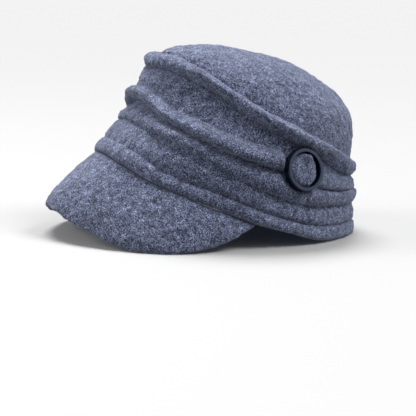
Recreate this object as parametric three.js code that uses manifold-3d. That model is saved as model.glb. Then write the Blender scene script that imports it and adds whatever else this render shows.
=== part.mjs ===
import Module from "manifold-3d";
import * as THREE from "three";
import { mergeVertices } from "three/addons/utils/BufferGeometryUtils.js";

// A peaked cap of boiled wool, draped in soft folds round the head, with a plastic ring on the left.
// Millimetres, +Z up. The front is -Y and the wearer's left is +X.
// An angle goes round the head in degrees: 0 at the front, 90 at the left, 180 at the back, -90 at the right.
// Both sides of the cap are draped alike, so the tables hold only the angles from 0 to 180.

const WALL = 3.2; // thickness of the wool between the folds
const GROOVE = 1.4; // how far a crease sinks into the wool
const GAP = 0.3; // clearance between two pieces that touch
const COLUMN_STEP = 5; // degrees from one section to the next
const HEAD_Y = 18.5; // the head's axis stands this far behind the middle of the cap's footprint

// Level outlines of the head's form, from the rim to the top: each is an oval from front to back.
const OUTLINES = table(
  ["z", "front", "back", "half"],
  [
    [0, -103, 99.5, 87],
    [20, -104, 100, 88],
    [40, -103, 98.8, 89],
    [62, -100, 98, 88],
    [78, -89.5, 98, 85],
    [92, -77, 95.5, 80],
    [106, -70, 85.5, 72],
    [118, -67, 69, 62],
    [128, -62, 52, 50],
    [134.5, -56, 33, 37],
    [139, -49, 13, 24],
    [142, -39, -5, 12],
    [143, -23, -23, 0],
  ],
);

// The rim: the height of the wool's lower edge, which the peak hangs from at the front.
const RIM = table(
  ["angle", "z"],
  [
    [0, 62],
    [10, 61],
    [25, 55.7],
    [40, 47],
    [57, 37.4],
    [70, 29],
    [85, 18.8],
    [102, 10.3],
    [116, 3.3],
    [128, 1.5],
    [142, 1.2],
    [160, 0],
    [180, 0],
  ],
);

// The folds. crease is the height of the crease under a fold, rise is how far the fold reaches up from
// there, and out is how far it stands proud. A fold is fullest higher up where bend is large.
// dip sinks the wool above the top fold, and hollow the wool between the top fold and the upper fold.
// swell is how far the wool between the lower fold and the hem swells, and top is the height of the hem's top.
const TOP_FOLD = table(
  ["angle", "crease", "rise", "out", "dip", "bend"],
  [
    [0, 125, 11, 5.5, 1.2, 1],
    [20, 125.5, 11, 5.5, 1.2, 1],
    [40, 122, 12.5, 6.5, 1.5, 1],
    [56, 113.5, 14, 7, 1.8, 1],
    [66, 104.5, 15, 6.8, 1.9, 1],
    [75, 95.5, 14.5, 6.5, 1.9, 1],
    [84, 88, 13, 6.5, 2, 1.05],
    [100, 77, 12, 6.5, 2, 1.2],
    [117, 64, 14, 6.5, 2, 1.5],
    [130, 53, 15, 5.8, 2, 1.6],
    [146, 47, 12, 3.8, 1.8, 1.2],
    [180, 45, 10, 3, 1.6, 1],
  ],
);
const UPPER_FOLD = table(
  ["angle", "crease", "rise", "out", "hollow"],
  [
    [0, 101, 11, 8.5, -1],
    [12, 99.5, 11, 8.5, -1],
    [30, 91.8, 10.5, 7, 0.2],
    [48, 83.5, 10, 6, 1.4],
    [60, 77.3, 10.5, 6, 1.4],
    [73, 69.3, 12, 6, 1.4],
    [86, 61.8, 13, 6, 1.5],
    [97, 56, 13.5, 6, 1.5],
    [114, 43, 13, 5.5, 1.5],
    [130, 37.5, 13, 4, 1.2],
    [150, 35, 10, 2, 0.8],
    [180, 34, 9, 1.4, 0.8],
  ],
);
const LOWER_FOLD = table(
  ["angle", "crease", "out", "bend"],
  [
    [0, 87.5, 3.4, 0.8],
    [20, 84.7, 3.4, 0.8],
    [34, 80.5, 4.3, 1],
    [48, 74, 5.2, 1],
    [60, 66, 5.2, 1],
    [72, 57, 5.3, 1],
    [84, 47, 5.5, 1],
    [97, 36.8, 5.5, 1.1],
    [110, 30.2, 4.8, 1.6],
    [125, 27.3, 4.2, 2],
    [150, 25, 3.6, 2],
    [180, 24, 3.5, 2],
  ],
);
const HEM = table(
  ["angle", "top", "out", "swell"],
  [
    [0, 72.5, 2.9, 1],
    [20, 70, 2.9, 1],
    [36, 62.2, 3.8, 1.4],
    [54, 50, 3.8, 1.4],
    [70, 40.6, 3.8, 1.4],
    [85, 29.8, 4, 1.4],
    [100, 20.7, 4, 1.6],
    [114, 14.3, 3.8, 2],
    [130, 11.7, 3.2, 2.2],
    [150, 10.5, 2.5, 1.5],
    [180, 9.5, 2.5, 1.5],
  ],
);

// Cross-sections of the two upper folds, the lower fold, the rolled hem, and the wool under the top fold and
// under the lower fold, from the top down. along is the share of the way down, out the share of the height.
const RIDGE = table(
  ["along", "out"],
  [
    [0, 0],
    [0.12, 0.42],
    [0.26, 0.88],
    [0.44, 1],
    [0.7, 0.9],
    [0.9, 0.6],
    [1, 0.25],
  ],
);
const ROLL = table(
  ["along", "out"],
  [
    [0.02, -0.3],
    [0.16, -0.3],
    [0.32, 0.1],
    [0.46, 0.62],
    [0.64, 1],
    [0.86, 0.78],
    [0.97, 0.42],
  ],
);
const HEM_ROLL = table(
  ["along", "out"],
  [
    [0.12, 0.6],
    [0.3, 1],
    [0.55, 0.95],
    [0.8, 0.7],
    [1, 0.25],
  ],
);
const HOLLOW = table(
  ["along", "out"],
  [
    [0.05, -1],
    [0.3, -1.05],
    [0.6, -0.5],
    [0.87, 0.3],
  ],
);
const SWELL = table(
  ["along", "out"],
  [
    [0.08, -0.7],
    [0.25, -0.05],
    [0.55, 0.7],
    [0.85, 0.5],
  ],
);
const DROOP = 0.4; // a fold keeps this share of the slope that it would have if it stood straight out

// The peak: how far its edge lies out from and below the rim, and how far its outer skin stands proud
// of the head's form at the root. The last row lies past its ends, and says how steeply it runs out there.
const PEAK = table(
  ["angle", "out", "drop", "root"],
  [
    [0, 38.5, 38, 2.2],
    [15, 34, 42.5, 2.2],
    [30, 28.5, 44.8, 2.2],
    [44, 25.8, 42.3, 2.2],
    [56, 21, 35.3, 2],
    [66, 13, 26.6, 1.8],
    [76, 6, 14.4, 1.4],
    [85, 0.5, 1, 0.8],
    [94, -5, -12, 0.2],
  ],
);
const PEAK_END = 85; // it runs out at this angle
const PEAK_STEP = 2.5; // degrees from one of its sections to the next
const PEAK_INNER = -1.6; // its inner skin leaves the rim this far within the head's form
const PEAK_SWELL = 1; // how far it swells between its root and its edge
const PEAK_ARCH = 1.4; // it leaves the rim flatter than it ends, the more so the larger this is
const PEAK_ROWS = 5;

// The ring, and the wool that is drawn up through it.
const RING = { angle: 105.8, z: 56.5, tilt: 9, outer: 15.4, inner: 12.7, depth: 6, bevel: 0.8, sides: 48 };
const SEAT_OUT = 0.7; // the ring's seat lies this far proud of the head's form
const SEAT_RADIUS = RING.outer + 0.5;
const SEAT_REACH = 30; // height of the cut that presses the seat flat
const PUFF = { radius: 12.2, height: 4.6, sides: 24, rows: 5 };
const LOBE = { turn: 20, radius: 9, height: 4.5, spread: 4.5 }; // where the puff stands up highest

const CROWN_ROWS = 11; // outlines of the crown above its fold
const INSIDE_ROWS = 8; // outlines of its inner face
const INNER_ROWS = 5; // outlines of the band's inner face

function table(names, rows) {
  return rows.map((row) =>
    Object.fromEntries(names.map((name, i) => [name, row[i]])),
  );
}

// A smooth curve through four values, at the share w of the way from b to c.
function through(a, b, c, d, w) {
  const leave = (c - a) / 2;
  const arrive = (d - b) / 2;
  const cubic = 2 * (b - c) + leave + arrive;
  const square = 3 * (c - b) - 2 * leave - arrive;
  return ((cubic * w + square) * w + leave) * w + b;
}

// One column of the outlines at a level, which counts the table's rows.
function outlineAt(name, level) {
  const row = THREE.MathUtils.clamp(Math.floor(level), 0, OUTLINES.length - 2);
  const b = OUTLINES[row][name];
  const c = OUTLINES[row + 1][name];
  const a = row > 0 ? OUTLINES[row - 1][name] : 2 * b - c;
  const d = row + 2 < OUTLINES.length ? OUTLINES[row + 2][name] : 2 * c - b;
  return through(a, b, c, d, level - row);
}

function levelAt(z) {
  let low = 0;
  let high = OUTLINES.length - 1;
  while (high - low > 1e-7) {
    const middle = (low + high) / 2;
    if (outlineAt("z", middle) < z) low = middle;
    else high = middle;
  }
  return low;
}

// One column of a table at an angle. The curve is level at the front and at the back.
function around(rows, name, angle) {
  const a = Math.abs(angle);
  const next = Math.max(
    rows.findIndex((row) => row.angle > a),
    1,
  );
  const last = a >= rows.at(-1).angle ? rows.length - 1 : next;
  const at = (i) => {
    const mirrored = i < 0 ? -i : i;
    const end = rows.length - 1;
    return rows[mirrored > end ? 2 * end - mirrored : mirrored][name];
  };
  const from = rows[last - 1].angle;
  const share = Math.min((a - from) / (rows[last].angle - from), 1);
  return through(at(last - 2), at(last - 1), at(last), at(last + 1), share);
}

// The height of the rim, which is pressed flat where the cap stands on it.
function rimAt(angle) {
  return Math.max(around(RIM, "z", angle), 0);
}

function onOval(angle, level) {
  const turn = THREE.MathUtils.degToRad(angle);
  const front = outlineAt("front", level);
  const back = outlineAt("back", level);
  return new THREE.Vector3(
    outlineAt("half", level) * Math.sin(turn),
    (front + back) / 2 - ((back - front) / 2) * Math.cos(turn),
    outlineAt("z", level),
  );
}

// The direction straight out of the head's form.
function outward(angle, level) {
  const step = 1e-3;
  const round = onOval(angle + 1, level).sub(onOval(angle - 1, level));
  const up = onOval(angle, level + step).sub(onOval(angle, level - step));
  return round.cross(up).normalize();
}

// A point of the wool: out is measured straight out of the head's form.
function wool(angle, z, out) {
  const level = levelAt(z);
  return onOval(angle, level).addScaledVector(outward(angle, level), out);
}

// The points of a fold's cross-section between two heights. A fold hangs, so it stands out less steeply.
function across(shape, angle, top, bottom, out) {
  return shape.map((row) => {
    const level = levelAt(top + (bottom - top) * row.along);
    const direction = outward(angle, level);
    direction.setZ(direction.z * DROOP).normalize();
    return onOval(angle, level).addScaledVector(direction, out * row.out);
  });
}

// A cross-section with its rows moved upward, the more so the larger bend is.
function bent(shape, bend) {
  return shape.map(({ along, out }) => ({ along: along ** bend, out }));
}

// A closed body from sections. A closed row of sections goes right round, and an open one gets end faces.
function skin(sections, closed) {
  const size = sections[0].length;
  const positions = sections.flat().flatMap((point) => point.toArray());
  const faces = [];
  const lanes = closed ? sections.length : sections.length - 1;
  for (let lane = 0; lane < lanes; lane++) {
    const here = lane * size;
    const there = ((lane + 1) % sections.length) * size;
    for (let i = 0; i < size; i++) {
      const j = (i + 1) % size;
      faces.push(here + i, here + j, there + i);
      faces.push(there + i, here + j, there + j);
    }
  }
  if (!closed) {
    const last = (sections.length - 1) * size;
    for (let i = 1; i < size - 1; i++) {
      faces.push(0, i + 1, i);
      faces.push(last, last + i, last + i + 1);
    }
  }
  return merged(positions, faces);
}

// The geometry with shared vertices joined and the faces that have no area left out.
function merged(positions, faces) {
  const raw = new THREE.BufferGeometry();
  raw.setAttribute("position", new THREE.Float32BufferAttribute(positions, 3));
  raw.setIndex(Array.from(faces));
  const whole = mergeVertices(raw, 1e-3);
  const index = whole.index.array;
  const kept = [];
  for (let i = 0; i < index.length; i += 3) {
    const [a, b, c] = index.slice(i, i + 3);
    if (a !== b && b !== c && c !== a) kept.push(a, b, c);
  }
  whole.setIndex(kept);
  return whole;
}

function anglesBetween(from, to, step) {
  const count = Math.round((to - from) / step);
  return Array.from({ length: count + 1 }, (_, i) => from + i * step);
}

// The angles of sections that go right round, without the last one, which is the first again.
function wholeTurn() {
  return anglesBetween(-180, 180, COLUMN_STEP).slice(0, -1);
}

function innerRows(angle, from, to) {
  return Array.from({ length: INNER_ROWS }, (_, i) =>
    wool(angle, from + ((to - from) * i) / (INNER_ROWS - 1), -WALL),
  );
}

// The side band, from the crease under the top fold down to the rim.
function bandSection(angle) {
  const top = around(TOP_FOLD, "crease", angle) - GAP;
  const upper = around(UPPER_FOLD, "crease", angle);
  const upperTop = upper + around(UPPER_FOLD, "rise", angle);
  const lower = around(LOWER_FOLD, "crease", angle);
  const hem = around(HEM, "top", angle);
  const rim = rimAt(angle);
  const lowerRoll = bent(ROLL, around(LOWER_FOLD, "bend", angle));
  const roll = across(HEM_ROLL, angle, hem, rim, around(HEM, "out", angle));
  const inner = innerRows(angle, rim, top);
  roll.at(-1).setZ(rim);
  inner[0].setZ(rim);
  return [
    wool(angle, top, -GROOVE),
    ...across(HOLLOW, angle, top, upperTop, around(UPPER_FOLD, "hollow", angle)),
    ...across(RIDGE, angle, upperTop, upper, around(UPPER_FOLD, "out", angle)),
    wool(angle, upper, -GROOVE),
    ...across(lowerRoll, angle, upper, lower, around(LOWER_FOLD, "out", angle)),
    wool(angle, lower, -GROOVE),
    ...across(SWELL, angle, lower, hem, around(HEM, "swell", angle)),
    wool(angle, hem, -GROOVE),
    ...roll,
    ...inner,
  ];
}

// The crown, from its top down to the crease under its fold and back up inside.
function crownSection(angle) {
  const crease = around(TOP_FOLD, "crease", angle);
  const foldTop = crease + around(TOP_FOLD, "rise", angle);
  const dip = around(TOP_FOLD, "dip", angle);
  const highest = OUTLINES.length - 1;
  const start = levelAt(foldTop);
  const outer = [];
  for (let i = 0; i < CROWN_ROWS; i++) {
    const level = highest + ((start - highest) * i) / CROWN_ROWS;
    outer.push(onOval(angle, level));
  }
  const ridge = bent(RIDGE, around(TOP_FOLD, "bend", angle));
  const fold = across(ridge, angle, foldTop, crease, around(TOP_FOLD, "out", angle));
  fold[0].addScaledVector(outward(angle, start), -dip);
  const inner = [wool(angle, crease, -WALL)];
  const bottom = levelAt(crease);
  const insideTop = onOval(0, highest).add(new THREE.Vector3(0, 0, -WALL));
  for (let i = 1; i < INSIDE_ROWS; i++) {
    const level = bottom + ((highest - bottom) * i) / INSIDE_ROWS;
    inner.push(onOval(angle, level).addScaledVector(outward(angle, level), -WALL));
  }
  return [...outer, ...fold, wool(angle, crease, -GROOVE), ...inner, insideTop];
}

// A point of the peak's skin, at the share along of the way from its root to its edge.
function onPeak(angle, along, skinOut) {
  const rim = rimAt(angle);
  const root = onOval(angle, levelAt(rim));
  const out = outward(angle, levelAt(rim)).setZ(0).normalize();
  const swell = PEAK_SWELL * 4 * along * (1 - along);
  const share = 1 - (1 - along) ** PEAK_ARCH;
  const reach = skinOut + swell + around(PEAK, "out", angle) * share;
  const drop = GAP + around(PEAK, "drop", angle) * along;
  root.addScaledVector(out, reach);
  root.z = Math.max(rim - drop, 0);
  return root;
}

function peakSection(angle) {
  const rows = Array.from({ length: PEAK_ROWS + 1 }, (_, i) => i / PEAK_ROWS);
  const root = around(PEAK, "root", angle);
  const outer = rows.map((along) => onPeak(angle, along, root));
  const inner = rows.map((along) => onPeak(angle, along, PEAK_INNER)).reverse();
  return [...outer, ...inner];
}

// The ring's place: its middle on the seat, its axis out of the wool and a little upward.
function ringPlace() {
  const level = levelAt(RING.z);
  const axis = outward(RING.angle, level);
  const side = new THREE.Vector3(0, 0, 1).cross(axis).normalize();
  axis.applyAxisAngle(side, -THREE.MathUtils.degToRad(RING.tilt));
  const seat = onOval(RING.angle, level).addScaledVector(axis, SEAT_OUT);
  const turn = new THREE.Quaternion().setFromUnitVectors(new THREE.Vector3(0, 1, 0), axis);
  return { axis, seat, turn };
}

function ringGeometry() {
  const { outer, inner, depth, bevel, sides } = RING;
  const profile = [
    [inner, 0],
    [outer, 0],
    [outer, depth - bevel],
    [outer - bevel, depth],
    [inner + bevel, depth],
    [inner, depth - bevel],
    [inner, 0],
  ].map(([x, y]) => new THREE.Vector2(x, y));
  return new THREE.LatheGeometry(profile, sides);
}

// A low dome with a flat back and a lobe. Before it is put in its place, its Y is out of the wool, its Z is up
// and its X is toward the front.
function puffGeometry() {
  const profile = [new THREE.Vector2(0, 0)];
  for (let i = 0; i <= PUFF.rows; i++) {
    const turn = (Math.PI / 2) * (i / PUFF.rows);
    profile.push(new THREE.Vector2(PUFF.radius * Math.cos(turn), PUFF.height * Math.sin(turn)));
  }
  profile.at(-1).x = 0;
  const dome = new THREE.LatheGeometry(profile, PUFF.sides);
  const point = dome.attributes.position;
  const turn = THREE.MathUtils.degToRad(LOBE.turn);
  for (let i = 0; i < point.count; i++) {
    const x = point.getX(i) + LOBE.radius * Math.sin(turn);
    const z = point.getZ(i) - LOBE.radius * Math.cos(turn);
    const share = Math.sqrt(point.getY(i) / PUFF.height);
    const lift = LOBE.height * share * Math.exp(-(x * x + z * z) / LOBE.spread ** 2);
    point.setY(i, point.getY(i) + lift);
  }
  return dome;
}

const wasm = await Module();
wasm.setup();

function solid(geometry) {
  const bare = geometry.clone();
  bare.deleteAttribute("normal");
  bare.deleteAttribute("uv");
  const whole = merged(bare.attributes.position.array, bare.index.array);
  return new wasm.Manifold(
    new wasm.Mesh({
      numProp: 3,
      vertProperties: whole.attributes.position.array,
      triVerts: new Uint32Array(whole.index.array),
    }),
  );
}

// The wool with the ring's seat pressed flat into it.
function seated(geometry, place) {
  const press = new THREE.CylinderGeometry(SEAT_RADIUS, SEAT_RADIUS, SEAT_REACH, RING.sides);
  press.translate(0, SEAT_REACH / 2, 0);
  press.applyQuaternion(place.turn);
  press.translate(...place.seat.toArray());
  const mesh = solid(geometry).subtract(solid(press)).getMesh();
  return merged(mesh.vertProperties, mesh.triVerts);
}

const woolMaterial = new THREE.MeshStandardMaterial({ color: 0x737b96, roughness: 0.95, metalness: 0 });
const plasticMaterial = new THREE.MeshStandardMaterial({ color: 0x14161b, roughness: 0.2, metalness: 0 });

function piece(name, geometry, material) {
  const mesh = new THREE.Mesh(geometry, material);
  mesh.name = name;
  return mesh;
}

const place = ringPlace();
const cap = new THREE.Group();
cap.position.y = HEAD_Y;
cap.add(piece("crown", seated(skin(wholeTurn().map(crownSection), true), place), woolMaterial));
cap.add(piece("side_band", seated(skin(wholeTurn().map(bandSection), true), place), woolMaterial));
cap.add(piece("peak", skin(anglesBetween(-PEAK_END, PEAK_END, PEAK_STEP).map(peakSection), false), woolMaterial));

const ornament = new THREE.Group();
ornament.position.copy(place.seat).addScaledVector(place.axis, GAP);
ornament.quaternion.copy(place.turn);
ornament.add(piece("ring", ringGeometry(), plasticMaterial));
ornament.add(piece("ring_puff", puffGeometry(), woolMaterial));
cap.add(ornament);

export default cap;
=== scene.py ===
"""A peaked cap of boiled wool with a plastic ring: its looks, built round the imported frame.

Lengths are in millimetres until a mesh is made. The front is -Y and the wearer's left is +X. An angle goes
round the head in degrees: 0 at the front, 90 at the left, 180 at the back, -90 at the right. The tables hold
the angles from 0 to 180, because both sides of the cap are draped alike.
"""

import math

import bpy
import numpy as np
from mathutils import Matrix, Vector


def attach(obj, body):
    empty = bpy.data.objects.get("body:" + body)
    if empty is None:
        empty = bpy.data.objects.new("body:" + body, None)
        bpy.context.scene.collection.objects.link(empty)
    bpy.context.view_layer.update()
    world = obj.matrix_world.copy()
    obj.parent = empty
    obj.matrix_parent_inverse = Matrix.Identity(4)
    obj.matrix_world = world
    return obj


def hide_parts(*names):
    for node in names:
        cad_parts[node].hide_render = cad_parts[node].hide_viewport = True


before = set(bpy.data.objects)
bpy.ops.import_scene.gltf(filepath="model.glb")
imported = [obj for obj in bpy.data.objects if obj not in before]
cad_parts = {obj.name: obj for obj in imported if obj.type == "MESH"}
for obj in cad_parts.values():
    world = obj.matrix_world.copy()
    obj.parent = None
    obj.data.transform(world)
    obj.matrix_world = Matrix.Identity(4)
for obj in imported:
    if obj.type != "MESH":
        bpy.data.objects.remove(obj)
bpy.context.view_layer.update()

MM = 0.001
PHOTO_SIDE = 416
SPACING = 0.9  # between neighbouring points of the wool
WOOL_RADIUS = 95  # about how far the wool lies from the head's axis
HEAD_Y = 18.5  # the head's axis stands this far behind the middle of the cap's footprint

WALL = 3.2  # thickness of the wool between the folds
GROOVE = 2.2  # how far the crease under the upper fold sinks into the wool
EDGE = 1.4  # the same at the other creases
BAND_GAP = 0.35  # between the crown's lower edge and the side band
BAND_EDGE = 0.2  # the side band's upper edge turns over within this height
START_FADE = 0.3  # the share of a fold's height over which it leaves the wool above it
DROOP = 0.4  # a fold keeps this share of the slope that it would have if it stood straight out
UPPER_BEND = 0.84  # the upper fold is fullest a little low
LIP_BEND = 1.3  # and this much higher up at the front, where it ends in a lip
LIP_SPREAD = 26.0
SHALLOW_ANGLE = 68.0  # the crease under the lower fold is shallowest here
SHALLOW_SPREAD = 18.0
SHALLOW_CREASE = 2.6  # how far its bottom comes out there
SHALLOW_FOLD = 0.45  # and the share of its height that the lower fold loses
FULLER_ANGLE = 85.0  # the top and upper folds stand out most here, where they are drawn toward the ring
FULLER_SPREAD = 35.0
FULLER_SHARE = 0.2  # by this share more

# How unsteady each crease's height is, in millimetres, with the seed that it is drawn from.
CREASE_WANDER = {"top": (0.5, 1), "upper": (0.5, 2), "lower": (0.5, 3), "hem": (0.3, 4)}
# The same for how far each fold stands out, as a share.
FOLD_WANDER = {"upper": (0.07, 5), "lower": (0.08, 6), "hem": (0.08, 7), "top": (0.07, 8)}
WAVES = 9  # how many waves round the head are added up for it
CALM_SHARE = 0.8  # how much steadier the creases are beside the ring
CALM_SPREAD = 22.0

# The felt's lumps: how high they stand, how long they are and the seed that they are drawn from.
FELT = ((0.5, 17, 11), (0.45, 7, 12), (0.48, 3.1, 13), (0.36, 1.9, 14))
DEEPEST_LUMP = -0.5  # how far the wool's unevenness may go inward
INNER_FELT = 0.25  # the share of the unevenness that the inside has
FELT_FADE = (0.6, 0.3, 0)  # it dies out over the last rows before an edge
LATTICE = 64

# Rows of points down each part of the wool.
HOLLOW_ROWS = 30
UPPER_ROWS = 34
LOWER_ROWS = 30
SWELL_ROWS = 24
HEM_ROWS = 16
BAND_INNER_ROWS = 14
DOME_ROWS = 92
CREST_ROWS = 40
CROWN_INNER_ROWS = 18
DIP_POWER = 9  # the crown sinks only close to the top fold, the more so the larger this is


def table(names, *rows):
    """The rows as named columns."""
    return dict(zip(names.split(), np.array(rows, float).T))


# Level outlines of the head's form, from the rim to the top: each is an oval from front to back.
OUTLINES = table(
    "z front back half",
    (0, -103, 99.5, 87),
    (20, -104, 100, 88),
    (40, -103, 98.8, 89),
    (62, -100, 98, 88),
    (78, -89.5, 98, 85),
    (92, -77, 95.5, 80),
    (106, -70, 85.5, 72),
    (118, -67, 69, 62),
    (128, -62, 52, 50),
    (134.5, -56, 33, 37),
    (139, -49, 13, 24),
    (142, -39, -5, 12),
    (143, -23, -23, 0),
)
TOP_LEVEL = len(OUTLINES["z"]) - 1

# The height of the wool's lower edge, which the peak hangs from at the front.
RIM = table(
    "angle z",
    (0, 62),
    (10, 61),
    (25, 55.7),
    (40, 47),
    (57, 37.4),
    (70, 29),
    (85, 18.8),
    (102, 10.3),
    (116, 3.3),
    (128, 1.5),
    (142, 1.2),
    (160, 0),
    (180, 0),
)

# The folds. crease is the height of the crease under the fold, rise how far the fold reaches up from there,
# out how far it stands proud, bend how much higher up it is fullest, dip how far the wool above the top fold
# sinks, and hollow how far the wool above the upper fold does.
TOP_FOLD = table(
    "angle crease rise out dip bend",
    (0, 125, 11, 5.5, 1.2, 1),
    (20, 125.5, 11, 5.5, 1.2, 1),
    (40, 122, 12.5, 6.5, 1.5, 1),
    (56, 113.5, 14, 7, 1.8, 1),
    (66, 104.5, 14.5, 6.8, 1.9, 1),
    (75, 95.5, 13.5, 6.5, 1.9, 0.95),
    (84, 88, 11.5, 6.5, 2, 0.85),
    (100, 77, 11, 6.5, 2, 0.85),
    (117, 64, 13, 6.5, 2, 1.1),
    (130, 53, 15, 5.8, 2, 1.4),
    (146, 47, 12, 3.8, 1.8, 1.2),
    (180, 45, 10, 3, 1.6, 1),
)
UPPER_FOLD = table(
    "angle crease rise out hollow",
    (0, 101, 11, 8.5, -1),
    (12, 99.5, 11, 8.5, -1),
    (30, 91.8, 10.5, 7, -0.9),
    (48, 83.5, 10, 6, 0.1),
    (60, 77.3, 10.5, 6, 0.9),
    (73, 69.3, 12, 6, 1.3),
    (86, 61.8, 13, 6, 1.5),
    (97, 56, 13.5, 6, 1.5),
    (114, 43, 13, 5.5, 1.5),
    (130, 37.5, 13, 4, 1.2),
    (150, 35, 10, 2, 0.8),
    (180, 34, 9, 1.4, 0.8),
)
LOWER_FOLD = table(
    "angle crease out bend",
    (0, 87.5, 3.4, 0.8),
    (20, 84.7, 3.4, 0.8),
    (34, 80.5, 4.3, 1),
    (48, 74, 5.2, 1),
    (60, 66, 5.2, 1),
    (72, 57, 5.3, 1),
    (84, 47, 5.5, 1),
    (97, 36.8, 5.5, 1.1),
    (110, 30.2, 4.8, 1.6),
    (125, 27.3, 4.2, 2),
    (150, 25, 3.6, 2),
    (180, 24, 3.5, 2),
)
# The rolled hem: the height of its top, how far it stands proud, and how far the wool above it swells.
HEM = table(
    "angle top out swell",
    (0, 72.5, 2.9, 1),
    (20, 70, 2.9, 1),
    (36, 62.2, 3.8, 1.4),
    (54, 50, 3.8, 1.8),
    (70, 40.6, 3.8, 2),
    (85, 29.8, 4, 2),
    (100, 20.7, 4, 1.9),
    (114, 14.3, 3.8, 2),
    (130, 11.7, 3.2, 2.2),
    (150, 10.5, 2.5, 1.5),
    (180, 9.5, 2.5, 1.5),
)

# Cross-sections from the top down: the share of the way down, and the share of the fold's height. CREST
# belongs to the top fold, RIDGE to the upper fold, ROLL to the lower one, HOLLOW to the wool above the upper
# fold and SWELL to the wool above the hem.
CREST = table(
    "along out",
    (0, 0),
    (0.08, 0.3),
    (0.18, 0.62),
    (0.3, 0.88),
    (0.42, 0.99),
    (0.54, 0.99),
    (0.68, 0.85),
    (0.82, 0.55),
    (0.93, 0.22),
    (1, -0.05),
)
RIDGE = table(
    "along out",
    (0, 0),
    (0.08, 0.2),
    (0.2, 0.52),
    (0.35, 0.82),
    (0.5, 0.97),
    (0.64, 1),
    (0.77, 0.9),
    (0.88, 0.64),
    (0.96, 0.3),
    (1, 0),
)
ROLL = table(
    "along out",
    (0, -0.34),
    (0.07, -0.3),
    (0.15, 0.06),
    (0.25, 0.46),
    (0.38, 0.8),
    (0.52, 0.97),
    (0.64, 0.98),
    (0.78, 0.84),
    (0.9, 0.56),
    (0.97, 0.3),
    (1, 0.05),
)
HEM_ROLL = table(
    "along out",
    (0, -0.35),
    (0.05, 0.05),
    (0.14, 0.42),
    (0.28, 0.76),
    (0.45, 0.96),
    (0.6, 1),
    (0.76, 0.92),
    (0.88, 0.7),
    (0.96, 0.38),
    (1, 0.1),
)
HOLLOW = table(
    "along out",
    (0, -0.95),
    (0.12, -1),
    (0.35, -1.12),
    (0.55, -1.28),
    (0.75, -1.45),
    (0.9, -1.55),
    (1, -1.5),
)
SWELL = table(
    "along out",
    (0, -0.6),
    (0.07, -0.5),
    (0.17, -0.15),
    (0.33, 0.25),
    (0.52, 0.6),
    (0.7, 0.78),
    (0.86, 0.5),
    (1, -0.5),
)

# The peak: how far its edge lies out from and below the rim, and how far its outer skin stands proud of
# the head's form at the root. The last row lies past its ends, and says how steeply it runs out there.
PEAK = table(
    "angle out drop root",
    (0, 38.5, 38, 2.2),
    (15, 34, 42.5, 2.2),
    (30, 28.5, 44.8, 2.2),
    (44, 25.8, 42.3, 2.2),
    (56, 21, 35.3, 2),
    (66, 13, 26.6, 1.8),
    (76, 6, 14.4, 1.4),
    (85, 0.5, 1, 0.8),
    (94, -5, -12, 0.2),
)
PEAK_END = 85
PEAK_RADIUS = 125  # about how far its edge lies from the head's axis
PEAK_ROWS = 62
PEAK_INNER = -1.6  # its inner skin leaves the rim this far within the head's form
PEAK_SWELL = 1
PEAK_ARCH = 1.4  # it leaves the rim flatter than it ends, the more so the larger this is
PEAK_GAP = 0.4  # between the peak's root and the rim
PEAK_BEAD_STEPS = 8  # facets round its edge
PEAK_BEAD_REACH = 6.0  # its edge is fully round where it stands out at least this far
PEAK_INNER_FELT = 0.6
PEAK_FELT_END = 8.0  # the unevenness dies out over this many degrees at its ends

RING_ANGLE = 105.8
RING_Z = 56.5
RING_TILT = 9.0  # its axis points up by this much more than the wool does
RING_OUTER = 15.4
RING_INNER = 12.8
RING_DEPTH = 5.7
RING_GAP = 0.3  # between the ring and its seat
RING_SIDES = 160
CORNER_POINTS = 9
BACK_CORNER = 0.4  # size of the small curve at the back, outside
INNER_BACK_CORNER = 0.3
SHOULDER = 1.5  # size of the curve that turns down from the ring's face outside
SHOULDER_TURN = 50.0  # how far round it goes before the flat face cuts it off
INNER_SHOULDER = 0.8
INNER_SHOULDER_TURN = 55.0
SHARP_FACE = 30.0  # an edge that turns by more than this is sharp

SEAT_OUT = 0.7  # the ring's seat lies this far proud of the head's form
SEAT_MARGIN = 0.9  # the wool is pressed down this far beyond the ring
SEAT_DEPTH = 0.5  # and by this much below the seat
SEAT_SLOPE = 5.0  # how steeply it comes up again from there
MOAT_TURN = 142.0  # the wool stays clear of the ring here, counted from behind it over its top
MOAT_SPREAD = 58.0
MOAT_WIDTH = 2.0
MOAT_DEPTH = 2.1
MOAT_SLOPE = 3.0  # how much more steeply it comes up there
DIMPLE_TURN = 0.0  # behind the ring the wool comes up in a long flat slope
DIMPLE_SPREAD = 42.0
DIMPLE_DEPTH = 1.7
DIMPLE_SLOPE = 4.45  # how much less steeply it comes up there

PUFF_RADIUS = 11.7
PUFF_HEIGHT = 4.9
PUFF_ROWS = 44
PUFF_SIDES = 120
PUFF_FOOT = 1.0  # the height of its round side above its back
PUFF_SIDE_POWER = 0.8  # below 1 its side is steeper and its top flatter than a ball's
PUFF_TOP_POWER = 0.75
PUFF_BACK = 0.3  # the height over which its back's edge is cut off
PUFF_BACK_INSET = 0.1
PUFF_BACK_SHARE = 0.6  # where its flat back has a row of points, as a share of its radius
PUFF_EDGE_ROWS = 8
PUFF_EDGE_FELT = 0.5  # the share of the unevenness that these rows at its side have
LOBE_TURN = 20.0  # the puff stands up highest this far behind the ring's top
LOBE_RADIUS = 9.0
LOBE_HEIGHT = 4.5
LOBE_SPREAD = 4.5
LOBE_SPILL = 2.2  # how far it leans out over the ring's face there
LOBE_CLEAR = 1.5  # the height above the ring's face over which it comes to lean out

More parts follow.
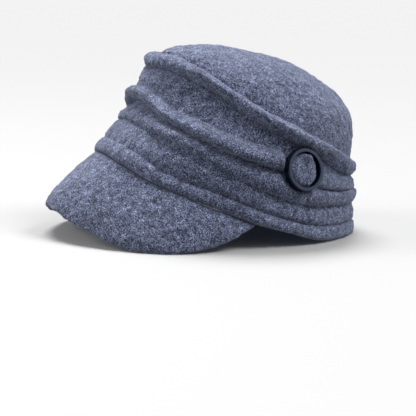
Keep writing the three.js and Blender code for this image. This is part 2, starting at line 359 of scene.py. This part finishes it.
# The camera looks at the wearer's left, a little from the front and from above.
CAMERA_AZIMUTH = 70.0
CAMERA_ELEVATION = 9.0
CAMERA_ROLL = 1.2
CAMERA_DISTANCE = 1100.0
SENSOR_WIDTH = 36
MM_PER_PIXEL = 0.78  # at the head's axis
HEAD_FOOT_PIXEL = (225.0, 228.8)  # where the foot of the head's axis lies in the photograph

LIGHT_TARGET = (0, 0, 0.07)  # in metres, as are the floor's reach and the lights' distances and sizes
FLOOR_REACH = 80.0


def spline(values, place, mirrored):
    """A smooth curve through values, read at places that count them from 0."""
    if mirrored:
        ends = values[1], values[-2]
    else:
        ends = 2 * values[0] - values[1], 2 * values[-1] - values[-2]
    padded = np.concatenate(([ends[0]], values, [ends[1]]))
    row = np.clip(np.floor(place), 0, len(values) - 2).astype(int)
    share = place - row
    a, b, c, d = (padded[row + i] for i in range(4))
    leave, arrive = (c - a) / 2, (d - b) / 2
    cubic = 2 * (b - c) + leave + arrive
    square = 3 * (c - b) - 2 * leave - arrive
    return ((cubic * share + square) * share + leave) * share + b


def around(rows, name, angle):
    """A column of a table at each angle."""
    place = np.interp(np.abs(angle), rows["angle"], np.arange(len(rows["angle"])))
    return spline(rows[name], place, True)


def section(shape, count):
    """A cross-section's two columns, smoothed and read at count places."""
    place = np.linspace(0, len(shape["along"]) - 1, count)
    return spline(shape["along"], place, False), spline(shape["out"], place, False)


def near(distance, spread):
    """1 at no distance, and softly less over about this spread."""
    return np.exp(-((distance / spread) ** 2))


def level_at(z):
    """The place in the table of outlines, counted from 0, where the head's form has this height."""
    low = np.zeros_like(z)
    high = np.full_like(z, TOP_LEVEL)
    for _ in range(24):
        middle = (low + high) / 2
        under = spline(OUTLINES["z"], middle, False) < z
        low = np.where(under, middle, low)
        high = np.where(under, high, middle)
    return low


def unit(vectors):
    """The vectors, each made 1 long."""
    return vectors / np.linalg.norm(vectors, axis=-1, keepdims=True)


def on_oval(angle, level):
    """Points on the head's form."""
    turn = np.radians(angle)
    z, front, back, half = (
        spline(OUTLINES[name], level, False) for name in ("z", "front", "back", "half")
    )
    x = half * np.sin(turn)
    y = (front + back) / 2 - (back - front) / 2 * np.cos(turn)
    return np.stack([x, y, z + 0 * turn], -1)


def outward(angle, level):
    """The direction straight out of the head's form."""
    step = 1e-3
    across = on_oval(angle + 1, level) - on_oval(angle - 1, level)
    up = on_oval(angle, level + step) - on_oval(angle, level - step)
    return unit(np.cross(across, up))


def wool(angle, z, out, droop=1.0):
    """Points of the wool, out from the head's form. A fold hangs, so it stands out less steeply."""
    level = level_at(z)
    direction = outward(angle, level)
    direction[..., 2] *= droop
    return on_oval(angle, level) + unit(direction) * np.asarray(out)[..., None]


def wander(angle, size, seed):
    """A slow unsteadiness round the head, which meets itself after a whole turn."""
    draw = np.random.default_rng(seed)
    total = np.zeros_like(angle)
    for wave in range(2, 2 + WAVES):
        total += draw.uniform(0.4, 1) * np.cos(wave * np.radians(angle) + draw.uniform(0, math.tau))
    return size * total / math.sqrt(WAVES)


# The felt's lumps lie in rows that are turned away from the cap's own directions.
TILT = np.array(Matrix.Rotation(0.7, 3, "X") @ Matrix.Rotation(0.5, 3, "Y"))


def lumps(points, size, seed):
    """Smooth noise from -1 to 1, with lumps of about this size."""
    lattice = np.random.default_rng(seed).uniform(-1, 1, (LATTICE,) * 3)
    place = points @ TILT / size
    cell = np.floor(place).astype(int)
    share = place - cell
    share = share * share * (3 - 2 * share)
    total = np.zeros(points.shape[:-1])
    for corner in np.ndindex(2, 2, 2):
        weight = np.prod(np.where(corner, share, 1 - share), axis=-1)
        total += weight * lattice[tuple(np.moveaxis((cell + corner) % LATTICE, -1, 0))]
    return total


def grid_normals(grid, closed):
    """Directions out of a grid whose rows run down the outside and whose columns run round."""
    down = np.gradient(grid, axis=0)
    if closed:
        across = np.roll(grid, -1, axis=1) - np.roll(grid, 1, axis=1)
    else:
        across = np.gradient(grid, axis=1)
    normal = np.cross(down, across)
    return normal / np.maximum(np.linalg.norm(normal, axis=-1, keepdims=True), 1e-9)


def felted(grid, weight, closed=True):
    """The wool's soft unevenness and its nubs. weight is their share at each row."""
    push = np.zeros(grid.shape[:-1])
    for height, size, seed in FELT:
        push += height * lumps(grid, size, seed)
    push = np.maximum(push, DEEPEST_LUMP)
    moved = grid + grid_normals(grid, closed) * (push * weight)[..., None]
    moved[..., 2] = np.maximum(moved[..., 2], 0)
    return moved


def felt_weight(outside, inside, start):
    """The share of the unevenness at each row: none at the edges, and little on the inside."""
    weight = np.ones(outside + inside)
    weight[: len(start)] = start
    weight[outside - len(FELT_FADE) : outside] = FELT_FADE
    weight[outside:] = INNER_FELT
    weight[outside] = weight[-1] = 0
    return weight[:, None]


def ring_place():
    """The middle of the ring's seat, the ring's axis, and its directions to the back and up."""
    angle, level = np.array(RING_ANGLE), level_at(np.array(RING_Z))
    axis = outward(angle, level)
    side = unit(np.cross((0, 0, 1), axis))
    tilt = math.radians(RING_TILT)
    axis = axis * math.cos(tilt) + np.cross(axis, side) * math.sin(tilt)
    side = unit(np.cross((0, 0, 1), axis))
    return on_oval(angle, level) + axis * SEAT_OUT, axis, side, np.cross(axis, side)


def round_ring(radius, height):
    """Points at each radius and height from the ring's seat. The columns go all the way round."""
    seat, axis, side, up = ring_place()
    count = np.shape(radius)[1]
    turn = np.arange(count) * math.tau / count
    spoke = np.cos(turn)[:, None] * side + np.sin(turn)[:, None] * up
    return seat + radius[..., None] * spoke + height[..., None] * axis


def pressed(grid):
    """The wool with the ring's seat pressed into it. Nothing stands proud inside the ring's outline, and the
    wool dips beside it where the folds are gathered: in a moat above it toward the front, and behind it."""
    seat, axis, side, up = ring_place()
    offset = grid - seat
    height = offset @ axis
    across, along = offset @ side, offset @ up
    radius = np.hypot(across, along)
    turn = np.degrees(np.arctan2(along, across))
    above = near((turn - MOAT_TURN + 180) % 360 - 180, MOAT_SPREAD)
    behind = near((turn - DIMPLE_TURN + 180) % 360 - 180, DIMPLE_SPREAD)
    start = RING_OUTER + SEAT_MARGIN + MOAT_WIDTH * above
    slope = SEAT_SLOPE + MOAT_SLOPE * above - DIMPLE_SLOPE * behind
    bottom = -SEAT_DEPTH - MOAT_DEPTH * above - DIMPLE_DEPTH * behind
    highest = bottom + slope * np.maximum(radius - start, 0)
    lower = np.minimum(height, highest) - height
    return grid + lower[..., None] * axis


def body_from_grid(name, grid, closed, poles=False):
    """A closed mesh. Its rows come back to their start, or end in a pole at either end."""
    rows, columns = grid.shape[:2]
    index = np.arange(rows * columns).reshape(rows, columns)
    if not poles:
        index = np.vstack([index, index[:1]])
    if closed:
        index = np.hstack([index, index[:, :1]])
    quads = np.stack([index[:-1, :-1], index[1:, :-1], index[1:, 1:], index[:-1, 1:]], -1)
    faces = quads.reshape(-1, 4).tolist()
    if not closed:
        faces.append(index[:-1, 0][::-1].tolist())
        faces.append(index[:-1, -1].tolist())
    points = grid.reshape(-1, 3)
    if poles:
        top, foot = 0, (rows - 1) * columns
        faces = [tidy_pole(face, columns, foot) for face in faces]
        keep = np.r_[top, columns : foot + 1]
        number = np.zeros(rows * columns, int)
        number[keep] = np.arange(len(keep))
        faces = [[int(number[i]) for i in face] for face in faces]
        points = points[keep]
    mesh = bpy.data.meshes.new(name)
    mesh.from_pydata(((points + (0, HEAD_Y, 0)) * MM).tolist(), [], faces)
    mesh.validate()
    mesh.polygons.foreach_set("use_smooth", [True] * len(mesh.polygons))
    piece = bpy.data.objects.new(name, mesh)
    bpy.context.scene.collection.objects.link(piece)
    return piece


def tidy_pole(face, columns, foot):
    """The face with every point of the first row made one, and every point of the last row made one."""
    joined = [0 if i < columns else min(i, foot) for i in face]
    return list(dict.fromkeys(joined))


def whole_turn():
    """The angles of the wool's columns, all round the head."""
    count = round(math.tau * WOOL_RADIUS / SPACING)
    return np.arange(count) * 360 / count - 180


def fold_rows(shape, count, angle, top, bottom, out, droop=DROOP, bend=1.0, start=0.0):
    """A cross-section's points. bend moves its rows upward, and start is how far out the wool above lies."""
    along, share = section(shape, count)
    along = np.clip(along, 0, 1)[:, None]
    z = top + (bottom - top) * along**bend
    reach = out * share[:, None] + start * (1 - np.minimum(along / START_FADE, 1)) ** 2
    return wool(angle + 0 * z, np.maximum(z, 0), reach, droop)


def creases(angle):
    """The heights of the creases round the head, with the small unsteadiness of hand-laid folds."""
    calm = 1 - CALM_SHARE * near(angle - RING_ANGLE, CALM_SPREAD)
    columns = {
        "top": (TOP_FOLD, "crease"),
        "upper": (UPPER_FOLD, "crease"),
        "lower": (LOWER_FOLD, "crease"),
        "hem": (HEM, "top"),
    }
    heights = {
        name: around(rows, column, angle) + wander(angle, *CREASE_WANDER[name]) * calm
        for name, (rows, column) in columns.items()
    }
    heights["rim"] = np.maximum(around(RIM, "z", angle), 0)
    return heights


def fuller(angle):
    """How much more the two upper folds stand out at the sides."""
    return 1 + FULLER_SHARE * near(np.abs(angle) - FULLER_ANGLE, FULLER_SPREAD)


def make_side_band():
    angle = whole_turn()
    crease = creases(angle)
    top = crease["top"] - BAND_GAP
    unsteady = {name: wander(angle, *FOLD_WANDER[name]) for name in ("upper", "lower", "hem")}
    upper_top = crease["upper"] + around(UPPER_FOLD, "rise", angle)
    upper_out = around(UPPER_FOLD, "out", angle) * (1 + unsteady["upper"]) * fuller(angle)
    shallow = near(np.abs(angle) - SHALLOW_ANGLE, SHALLOW_SPREAD)
    raised = SHALLOW_CREASE * shallow
    lower_out = around(LOWER_FOLD, "out", angle) * (1 + unsteady["lower"] - SHALLOW_FOLD * shallow)
    hem_out = around(HEM, "out", angle) * (1 + unsteady["hem"])
    hollow, swell = around(UPPER_FOLD, "hollow", angle), around(HEM, "swell", angle)
    upper_bend = UPPER_BEND + LIP_BEND * near(angle, LIP_SPREAD)
    bend = around(LOWER_FOLD, "bend", angle)
    start = HOLLOW["out"][-1] * hollow
    flat = np.zeros_like(angle)
    upper, lower, hem, rim = (crease[name] for name in ("upper", "lower", "hem", "rim"))
    outer = [
        wool(angle, top, flat - EDGE)[None],
        fold_rows(HOLLOW, HOLLOW_ROWS, angle, top - BAND_EDGE, upper_top, hollow, 1)[:-1],
        fold_rows(RIDGE, UPPER_ROWS, angle, upper_top, upper, upper_out, bend=upper_bend, start=start),
        wool(angle, upper, flat - GROOVE)[None],
        fold_rows(ROLL, LOWER_ROWS, angle, upper, lower, lower_out, bend=bend),
        wool(angle, lower, raised - EDGE)[None],
        fold_rows(SWELL, SWELL_ROWS, angle, lower, hem, swell, 1, start=raised)[1:],
        fold_rows(HEM_ROLL, HEM_ROWS, angle, hem, rim, hem_out)[1:],
    ]
    outside = np.concatenate(outer)
    outside[-1, :, 2] = rim
    inner_z = np.linspace(rim, top, BAND_INNER_ROWS)
    inside = wool(angle + 0 * inner_z, inner_z, flat - WALL)
    inside[0, :, 2] = rim
    grid = pressed(np.concatenate([outside, inside]))
    weight = felt_weight(len(outside), len(inside), (0, 0.5))
    return body_from_grid("band_wool", felted(grid, weight), True)


def make_crown():
    angle = whole_turn()
    crease = creases(angle)["top"]
    fold_top = crease + around(TOP_FOLD, "rise", angle)
    out = around(TOP_FOLD, "out", angle) * (1 + wander(angle, *FOLD_WANDER["top"])) * fuller(angle)
    bend = around(TOP_FOLD, "bend", angle)
    dip = around(TOP_FOLD, "dip", angle)
    share = np.linspace(0, 1, DOME_ROWS)[:, None]
    level = TOP_LEVEL + (level_at(fold_top) - TOP_LEVEL) * share
    dome = on_oval(angle + 0 * level, level)
    sink = (dip * share**DIP_POWER)[1:]
    dome[1:] -= outward(angle + 0 * level[1:], level[1:]) * sink[..., None]
    fold = fold_rows(CREST, CREST_ROWS, angle, fold_top, crease, out, bend=bend, start=-dip)[1:]
    edge = wool(angle, crease, np.zeros_like(angle) - EDGE)[None]
    bottom = level_at(crease)
    inner_level = bottom + (TOP_LEVEL - bottom) * np.linspace(0, 1, CROWN_INNER_ROWS)[:-1, None]
    inner_angle = angle + 0 * inner_level
    inside = on_oval(inner_angle, inner_level) - outward(inner_angle, inner_level) * WALL
    inner_pole = dome[:1] - (0, 0, WALL)
    outside = np.concatenate([dome, fold, edge])
    grid = pressed(np.concatenate([outside, inside, inner_pole]))
    weight = felt_weight(len(outside), len(grid) - len(outside), (0,))
    return body_from_grid("crown_wool", felted(grid, weight), True, poles=True)


def make_peak():
    count = round(math.radians(2 * PEAK_END) * PEAK_RADIUS / SPACING)
    angle = np.linspace(-PEAK_END, PEAK_END, count)
    rim = creases(angle)["rim"]
    level = level_at(rim)
    root = on_oval(angle, level)
    away = outward(angle, level)
    away[:, 2] = 0
    away = unit(away)
    reach, drop = around(PEAK, "out", angle), around(PEAK, "drop", angle)

    def skin(along, proud):
        swell = PEAK_SWELL * 4 * along * (1 - along)
        out = proud + swell + reach * (1 - (1 - along) ** PEAK_ARCH)
        points = root + away * out[..., None]
        points[..., 2] = rim - PEAK_GAP - drop * along
        return points

    along = np.linspace(0, 1, PEAK_ROWS)[:, None]
    outer = skin(along, around(PEAK, "root", angle))
    inner = skin(along[::-1], PEAK_INNER)
    roundness = np.minimum(1, reach / PEAK_BEAD_REACH)[:, None]
    turn = np.linspace(0, math.pi, PEAK_BEAD_STEPS + 1)[1:-1, None, None]
    middle = (outer[-1] + inner[0]) / 2
    half = (outer[-1] - inner[0]) / 2
    forward = unit(outer[-1] - outer[-3]) * np.linalg.norm(half, axis=-1, keepdims=True)
    bead = middle + half * np.cos(turn) + forward * roundness * np.sin(turn)
    grid = np.concatenate([outer, bead, inner])
    weight = np.full((len(grid), count), 1.0)
    fade = np.array(FELT_FADE)[:, None]
    weight[: len(fade)] = fade[::-1]
    weight[-len(fade) :] = fade
    weight[len(outer) + len(bead) :] *= PEAK_INNER_FELT
    weight *= np.minimum(1, (PEAK_END - np.abs(angle)) / PEAK_FELT_END)
    return body_from_grid("peak_wool", felted(grid, weight, closed=False), False)


def make_ring():
    """A short tube with a flat face, and shoulders that turn down from it."""
    low, high = RING_GAP, RING_GAP + RING_DEPTH
    shoulder_z = high - SHOULDER * math.sin(math.radians(SHOULDER_TURN))
    inner_z = high - INNER_SHOULDER * math.sin(math.radians(INNER_SHOULDER_TURN))
    # The middle of each corner's curve, its size, and the directions where it starts and ends.
    corners = (
        (RING_OUTER, low + BACK_CORNER, BACK_CORNER, -90, 0),
        (RING_OUTER + BACK_CORNER - SHOULDER, shoulder_z, SHOULDER, 0, SHOULDER_TURN),
        (RING_INNER + INNER_SHOULDER, inner_z, INNER_SHOULDER, 180 - INNER_SHOULDER_TURN, 180),
        (RING_INNER + INNER_BACK_CORNER, low + INNER_BACK_CORNER, INNER_BACK_CORNER, 180, 270),
    )
    profile = []
    for radius, height, size, start, end in corners:
        for turn in np.radians(np.linspace(start, end, CORNER_POINTS)):
            profile.append((radius + size * math.cos(turn), height + size * math.sin(turn)))
    radius, height = np.array(profile[::-1]).T[..., None]
    piece = body_from_grid("ring_shell", round_ring(np.repeat(radius, RING_SIDES, axis=1), height), True)
    piece.modifiers.new("sharp_face", "EDGE_SPLIT").split_angle = math.radians(SHARP_FACE)
    return piece


def make_puff():
    """The pinch of wool in the ring: a low dome with a flat back, and a lobe that leans over the face."""
    turn = np.arange(PUFF_SIDES) * math.tau / PUFF_SIDES
    rise = np.linspace(math.pi / 2, 0, PUFF_ROWS)[:, None]
    radius = PUFF_RADIUS * np.cos(rise) ** PUFF_SIDE_POWER + 0 * turn
    dome = np.sin(rise) ** PUFF_TOP_POWER
    lean = math.pi / 2 - math.radians(LOBE_TURN)
    away_x = radius * np.cos(turn) - LOBE_RADIUS * math.cos(lean)
    away_y = radius * np.sin(turn) - LOBE_RADIUS * math.sin(lean)
    lobe = np.exp(-(away_x**2 + away_y**2) / LOBE_SPREAD**2)
    height = RING_GAP + PUFF_FOOT + (PUFF_HEIGHT - PUFF_FOOT) * dome + LOBE_HEIGHT * np.sqrt(dome) * lobe
    over = np.clip((height - RING_DEPTH - RING_GAP) / LOBE_CLEAR, 0, 1)
    radius += LOBE_SPILL * lobe * over * (radius / PUFF_RADIUS) ** 2
    back = (
        (PUFF_RADIUS - PUFF_BACK_INSET, RING_GAP + PUFF_BACK),
        (PUFF_RADIUS * PUFF_BACK_SHARE, RING_GAP),
        (0, RING_GAP),
    )
    for back_radius, back_height in back:
        radius = np.vstack([radius, np.full(PUFF_SIDES, back_radius)])
        height = np.vstack([height, np.full(PUFF_SIDES, back_height)])
    radius[0] = 0
    grid = round_ring(radius, height)
    weight = np.ones(len(grid))
    weight[0] = 0
    weight[-len(back) :] = 0
    weight[PUFF_ROWS - PUFF_EDGE_ROWS : PUFF_ROWS] = PUFF_EDGE_FELT
    return body_from_grid("ring_puff_wool", felted(grid, weight[:, None]), True, poles=True)


def node(tree, kind, **settings):
    """A new node. A setting is one of its own properties, or else one of its inputs."""
    made = tree.nodes.new(kind)
    for name, value in settings.items():
        if hasattr(made, name):
            setattr(made, name, value)
        else:
            made.inputs[name.replace("_", " ")].default_value = value
    return made


def set_inputs(shader, **values):
    """Constants on the shader's own sockets."""
    for name, value in values.items():
        shader.inputs[name.replace("_", " ")].default_value = value


def new_material(name):
    material = bpy.data.materials.new(name)
    material.use_nodes = True
    return material, material.node_tree, material.node_tree.nodes["Principled BSDF"]


def ramp(tree, source, *stops):
    """The source's value turned into a colour that runs from stop to stop."""
    made = tree.nodes.new("ShaderNodeValToRGB")
    elements = made.color_ramp.elements
    while len(elements) < len(stops):
        elements.new(0.5)
    for element, (position, colour) in zip(elements, stops):
        element.position = position
        element.color = (*colour, 1)
    tree.links.new(source, made.inputs["Fac"])
    return made.outputs["Color"]


def multiply(tree, a, b):
    """The two colours multiplied."""
    made = node(tree, "ShaderNodeMix", data_type="RGBA", blend_type="MULTIPLY")
    made.inputs["Factor"].default_value = 1
    tree.links.new(a, made.inputs["A"])
    tree.links.new(b, made.inputs["B"])
    return made.outputs["Result"]


def make_wool_material():
    """Felted wool: light and dark fibres mixed in small curls, under a soft nap."""
    material, tree, shader = new_material("boiled_wool")
    place = tree.nodes.new("ShaderNodeTexCoord").outputs["Object"]

    def noise(scale, detail, distortion):
        made = node(tree, "ShaderNodeTexNoise", Scale=scale, Detail=detail, Distortion=distortion)
        tree.links.new(place, made.inputs["Vector"])
        return made.outputs["Fac"]

    curls = noise(1250, 3, 1.6)
    fibres = noise(2200, 2, 0.8)
    mottle = noise(270, 2, 0.5)
    clouds = noise(110, 3, 0)
    heather = ramp(
        tree,
        curls,
        (0.39, (0.01, 0.0135, 0.032)),
        (0.5, (0.063, 0.078, 0.142)),
        (0.61, (0.315, 0.357, 0.515)),
    )
    fine = ramp(tree, fibres, (0.39, (0.24, 0.24, 0.26)), (0.61, (1.8, 1.8, 1.77)))
    middle = ramp(tree, mottle, (0.34, (0.7, 0.7, 0.72)), (0.66, (1.3, 1.3, 1.29)))
    broad = ramp(tree, clouds, (0.3, (0.76, 0.76, 0.78)), (0.7, (1.24, 1.24, 1.23)))
    colour = heather
    for variation in (fine, middle, broad):
        colour = multiply(tree, colour, variation)
    tree.links.new(colour, shader.inputs["Base Color"])
    bump = node(tree, "ShaderNodeBump", Strength=0.8, Distance=0.0006)
    tree.links.new(curls, bump.inputs["Height"])
    finer = node(tree, "ShaderNodeBump", Strength=0.5, Distance=0.0003)
    tree.links.new(fibres, finer.inputs["Height"])
    tree.links.new(bump.outputs["Normal"], finer.inputs["Normal"])
    tree.links.new(finer.outputs["Normal"], shader.inputs["Normal"])
    set_inputs(shader, Roughness=0.9, Specular_IOR_Level=0.15)
    set_inputs(shader, Sheen_Weight=0.35, Sheen_Roughness=0.5, Sheen_Tint=(0.75, 0.8, 0.95, 1))
    return material


def make_plastic_material():
    """Glossy black plastic with the faint unevenness of a moulding."""
    material, tree, shader = new_material("black_plastic")
    place = tree.nodes.new("ShaderNodeTexCoord").outputs["Object"]
    smears = node(tree, "ShaderNodeTexNoise", Scale=220, Detail=3)
    tree.links.new(place, smears.inputs["Vector"])
    spread = node(tree, "ShaderNodeMapRange", To_Min=0.1, To_Max=0.18)
    tree.links.new(smears.outputs["Fac"], spread.inputs["Value"])
    tree.links.new(spread.outputs["Result"], shader.inputs["Roughness"])
    ripple = node(tree, "ShaderNodeBump", Strength=0.06, Distance=0.0002)
    tree.links.new(smears.outputs["Fac"], ripple.inputs["Height"])
    tree.links.new(ripple.outputs["Normal"], shader.inputs["Normal"])
    set_inputs(shader, Base_Color=(0.003, 0.006, 0.015, 1), Specular_Tint=(0.52, 0.65, 1, 1))
    return material


def camera_axes():
    """The camera's directions: to its back, to its right and up, with its roll."""
    turn, lift = math.radians(CAMERA_AZIMUTH), math.radians(CAMERA_ELEVATION)
    back = Vector(
        (math.sin(turn) * math.cos(lift), -math.cos(turn) * math.cos(lift), math.sin(lift))
    )
    right = Vector((math.cos(turn), math.sin(turn), 0))
    up = back.cross(right)
    roll = math.radians(CAMERA_ROLL)
    rolled_right = right * math.cos(roll) + up * math.sin(roll)
    rolled_up = up * math.cos(roll) - right * math.sin(roll)
    return back, rolled_right, rolled_up


def make_camera():
    """A long lens that sees the cap as large and in the same place as the photograph does."""
    back, right, up = camera_axes()
    middle = PHOTO_SIDE / 2
    aim = right * (middle - HEAD_FOOT_PIXEL[0]) + up * (HEAD_FOOT_PIXEL[1] - middle)
    aim = aim * MM_PER_PIXEL + Vector((0, HEAD_Y, 0))
    camera = bpy.data.objects.new("camera", bpy.data.cameras.new("camera"))
    bpy.context.scene.collection.objects.link(camera)
    place = Matrix.Translation((aim + back * CAMERA_DISTANCE) * MM)
    camera.matrix_world = place @ Matrix((right, up, back)).transposed().to_4x4()
    camera.data.sensor_width = SENSOR_WIDTH
    camera.data.lens = SENSOR_WIDTH * CAMERA_DISTANCE / (PHOTO_SIDE * MM_PER_PIXEL)
    bpy.context.scene.camera = camera


def make_light(name, direction, distance, size, power):
    """A square soft light that looks at the cap."""
    light = bpy.data.objects.new(name, bpy.data.lights.new(name, "AREA"))
    bpy.context.scene.collection.objects.link(light)
    light.data.shape = "SQUARE"
    light.data.size = size
    light.data.energy = power
    way = Vector(direction).normalized()
    light.location = Vector(LIGHT_TARGET) + way * distance
    light.rotation_mode = "QUATERNION"
    light.rotation_quaternion = way.to_track_quat("Z", "Y")


def make_sun(name, direction, spread, strength):
    """An even light over the whole floor, with soft shadows."""
    sun = bpy.data.objects.new(name, bpy.data.lights.new(name, "SUN"))
    bpy.context.scene.collection.objects.link(sun)
    sun.data.angle = math.radians(spread)
    sun.data.energy = strength
    sun.rotation_mode = "QUATERNION"
    sun.rotation_quaternion = Vector(direction).normalized().to_track_quat("Z", "Y")


def make_studio():
    """A plain pale floor under soft lights, and an even grey sky."""
    world = bpy.data.worlds.new("studio")
    bpy.context.scene.world = world
    world.use_nodes = True
    world.node_tree.nodes["Background"].inputs["Color"].default_value = (0.32, 0.32, 0.32, 1)
    back, right, _ = camera_axes()
    up = Vector((0, 0, 1))
    make_sun("ceiling_light", up - back * 0.4 - right * 0.1, spread=30, strength=3.3)
    make_sun("window_light", up + right * 0.9 + back * 0.32, spread=30, strength=2.1)
    make_light("left_light", up * 0.5 + back * 0.1 - right, distance=1.5, size=0.6, power=9)
    make_light("right_light", (0.62, 0.79, 0.26), distance=1.5, size=0.4, power=0.85)
    make_light("spark_light", (0.13, -0.99, 0.35), distance=1.5, size=0.05, power=1.5)
    floor_mesh = bpy.data.meshes.new("floor")
    corners = [(x * FLOOR_REACH, y * FLOOR_REACH, 0) for x, y in ((-1, -1), (1, -1), (1, 1), (-1, 1))]
    floor_mesh.from_pydata(corners, [], [(0, 1, 2, 3)])
    floor = bpy.data.objects.new("floor", floor_mesh)
    bpy.context.scene.collection.objects.link(floor)
    material, _, shader = new_material("pale_floor")
    set_inputs(shader, Base_Color=(0.5, 0.5, 0.5, 1), Roughness=1, Specular_IOR_Level=0)
    floor_mesh.materials.append(material)
    floor.visible_diffuse = False  # the cap's undersides stay as dark as they are without a floor
    bpy.context.scene.view_settings.view_transform = "Standard"


make_camera()
make_studio()
wool_material = make_wool_material()
plastic_material = make_plastic_material()
for piece, cad_node, slot, material in (
    (make_crown(), "crown", "wool", wool_material),
    (make_side_band(), "side_band", "wool", wool_material),
    (make_peak(), "peak", "wool", wool_material),
    (make_puff(), "ring_puff", "wool", wool_material),
    (make_ring(), "ring", "plastic", plastic_material),
):
    piece.data.materials.append(material)
    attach(piece, "root")
    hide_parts(cad_node)
